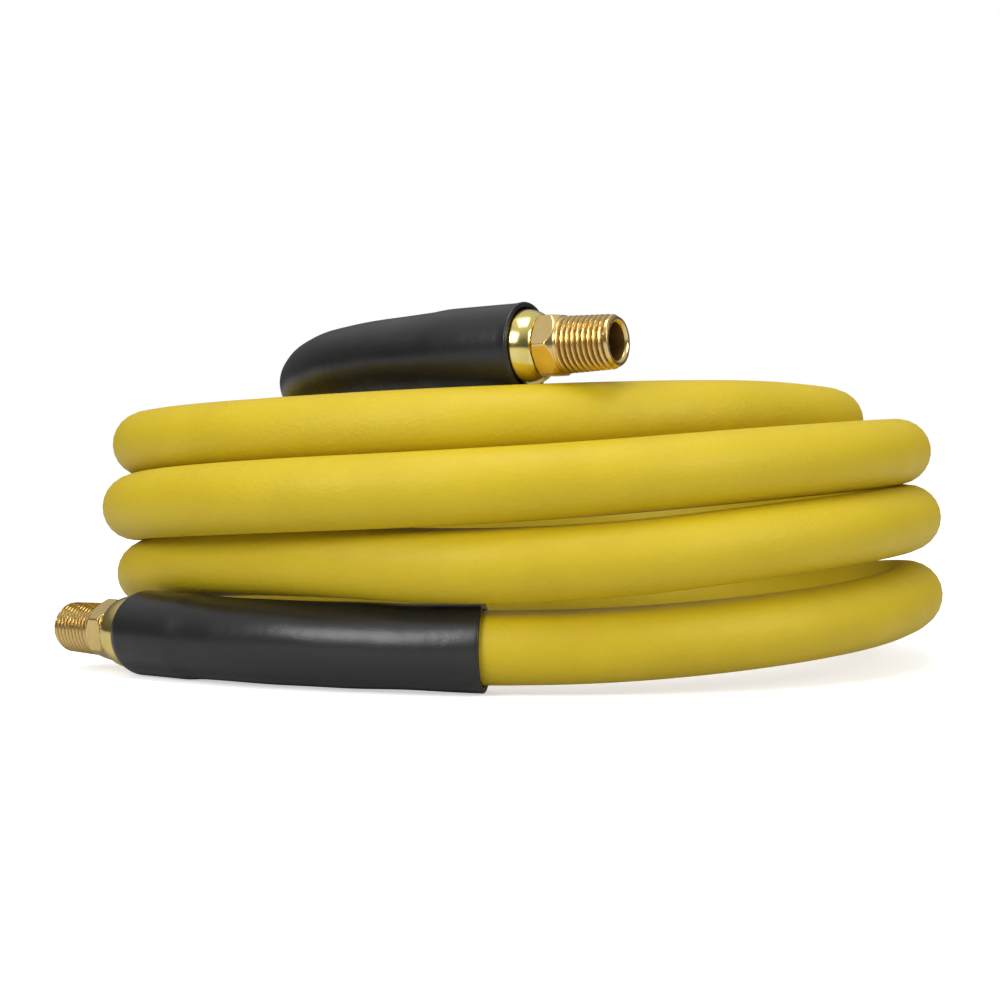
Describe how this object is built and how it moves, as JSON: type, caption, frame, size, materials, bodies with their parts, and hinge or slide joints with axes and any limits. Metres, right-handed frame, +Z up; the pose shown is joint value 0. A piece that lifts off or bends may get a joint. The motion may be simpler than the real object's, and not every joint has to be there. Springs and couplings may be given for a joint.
{
  "type": "coiled air hose",
  "caption": "Coiled yellow rubber air hose with crimped brass threaded ends and black bend restrictor sleeves.",
  "frame": {"origin": "centre of the whole assembly's box in plan, on the floor that the hose lies on", "axes": "+Z up out of the coil; -Y faces the upper end's threaded fitting; +X to the right of someone facing it"},
  "size_m": [0.2407, 0.2278, 0.0933],
  "materials": {
    "hose_cover": "satin yellow rubber cover with a fine wrapped texture",
    "liner_rubber": "smooth black inner tube",
    "textile_ply": "spiral textile reinforcement",
    "sleeve_vinyl": "satin black soft vinyl",
    "brass": "bright drawn and turned brass"
  },
  "bodies": {
    "root": {"lower_liner": "liner_rubber", "lower_ply": "textile_ply", "lower_cover": "hose_cover", "lower_ferrule": "brass", "lower_stem": "brass", "lower_sleeve": "sleeve_vinyl", "upper_liner": "liner_rubber", "upper_ply": "textile_ply", "upper_cover": "hose_cover", "upper_ferrule": "brass", "upper_stem": "brass", "upper_sleeve": "sleeve_vinyl", "hose_coil": "hose_cover"}
  },
  "joints": []
}
